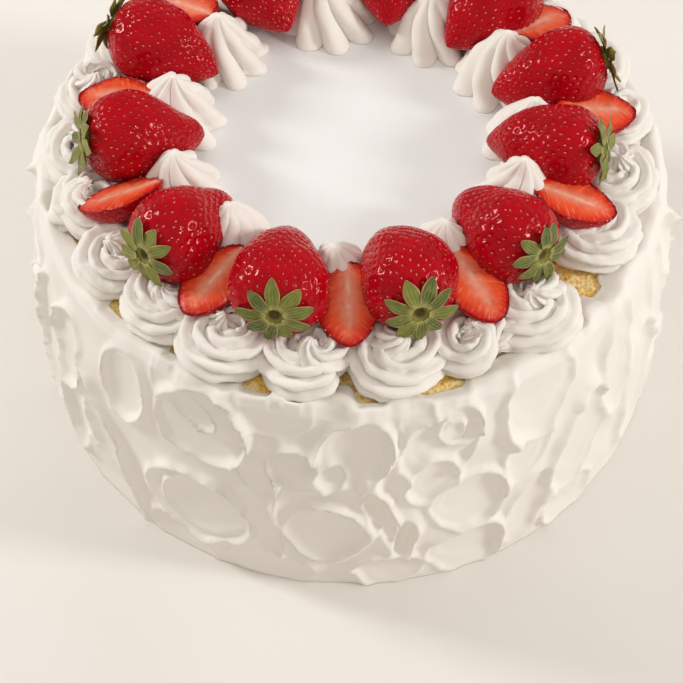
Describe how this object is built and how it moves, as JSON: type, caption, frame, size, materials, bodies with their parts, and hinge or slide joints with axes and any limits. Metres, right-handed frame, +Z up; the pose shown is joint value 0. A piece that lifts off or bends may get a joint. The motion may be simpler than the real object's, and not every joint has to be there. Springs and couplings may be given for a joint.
{
  "type": "cream sponge cake",
  "caption": "Uncut round sponge cake coated in knife-stroked whipped cream, topped with piped cream, whole strawberries and halves round a smooth middle.",
  "frame": {"origin": "centre of the underside, on the upright axis of the cake", "axes": "+Z up along the axis of the cake, -Y towards the side that was pictured"},
  "size_m": [0.2199, 0.2207, 0.1278],
  "materials": {
    "golden_sponge": "open golden crumb, dry and matt",
    "whipped_cream": "smooth whipped cream, soft sheen, light bleeds through thin edges",
    "strawberry_skin": "glossy red skin with sunken seeds, green crown of leaves",
    "strawberry_flesh": "moist cut flesh, orange-red with a paler streaked core"
  },
  "bodies": {
    "root": {"inner_drop_01": "whipped_cream", "inner_drop_02": "whipped_cream", "inner_drop_03": "whipped_cream", "inner_drop_04": "whipped_cream", "inner_drop_05": "whipped_cream", "inner_drop_06": "whipped_cream", "inner_drop_07": "whipped_cream", "inner_drop_08": "whipped_cream", "inner_drop_09": "whipped_cream", "inner_drop_10": "whipped_cream", "inner_drop_11": "whipped_cream", "outer_rosette_01": "whipped_cream", "outer_rosette_02": "whipped_cream", "outer_rosette_03": "whipped_cream", "outer_rosette_04": "whipped_cream", "outer_rosette_05": "whipped_cream", "outer_rosette_06": "whipped_cream", "outer_rosette_07": "whipped_cream", "outer_rosette_08": "whipped_cream", "outer_rosette_09": "whipped_cream", "outer_rosette_10": "whipped_cream", "outer_rosette_11": "whipped_cream", "outer_rosette_12": "whipped_cream", "outer_rosette_13": "whipped_cream", "outer_rosette_14": "whipped_cream", "outer_rosette_15": "whipped_cream", "outer_rosette_16": "whipped_cream", "outer_rosette_17": "whipped_cream", "outer_rosette_18": "whipped_cream", "outer_rosette_19": "whipped_cream", "outer_rosette_20": "whipped_cream", "outer_rosette_21": "whipped_cream", "outer_rosette_22": "whipped_cream", "side_cream": "whipped_cream", "sponge": "golden_sponge", "strawberry_01": "strawberry_skin", "strawberry_02": "strawberry_skin", "strawberry_03": "strawberry_skin", "strawberry_04": "strawberry_skin", "strawberry_05": "strawberry_skin", "strawberry_06": "strawberry_skin", "strawberry_07": "strawberry_skin", "strawberry_08": "strawberry_skin", "strawberry_09": "strawberry_skin", "strawberry_10": "strawberry_skin", "strawberry_11": "strawberry_skin", "strawberry_half_01": "strawberry_flesh", "strawberry_half_02": "strawberry_flesh", "strawberry_half_03": "strawberry_flesh", "strawberry_half_04": "strawberry_flesh", "strawberry_half_05": "strawberry_flesh", "strawberry_half_06": "strawberry_flesh", "strawberry_half_07": "strawberry_flesh", "strawberry_half_08": "strawberry_flesh", "strawberry_half_09": "strawberry_flesh", "strawberry_half_10": "strawberry_flesh", "strawberry_half_11": "strawberry_flesh", "top_cream": "whipped_cream"}
  },
  "joints": []
}
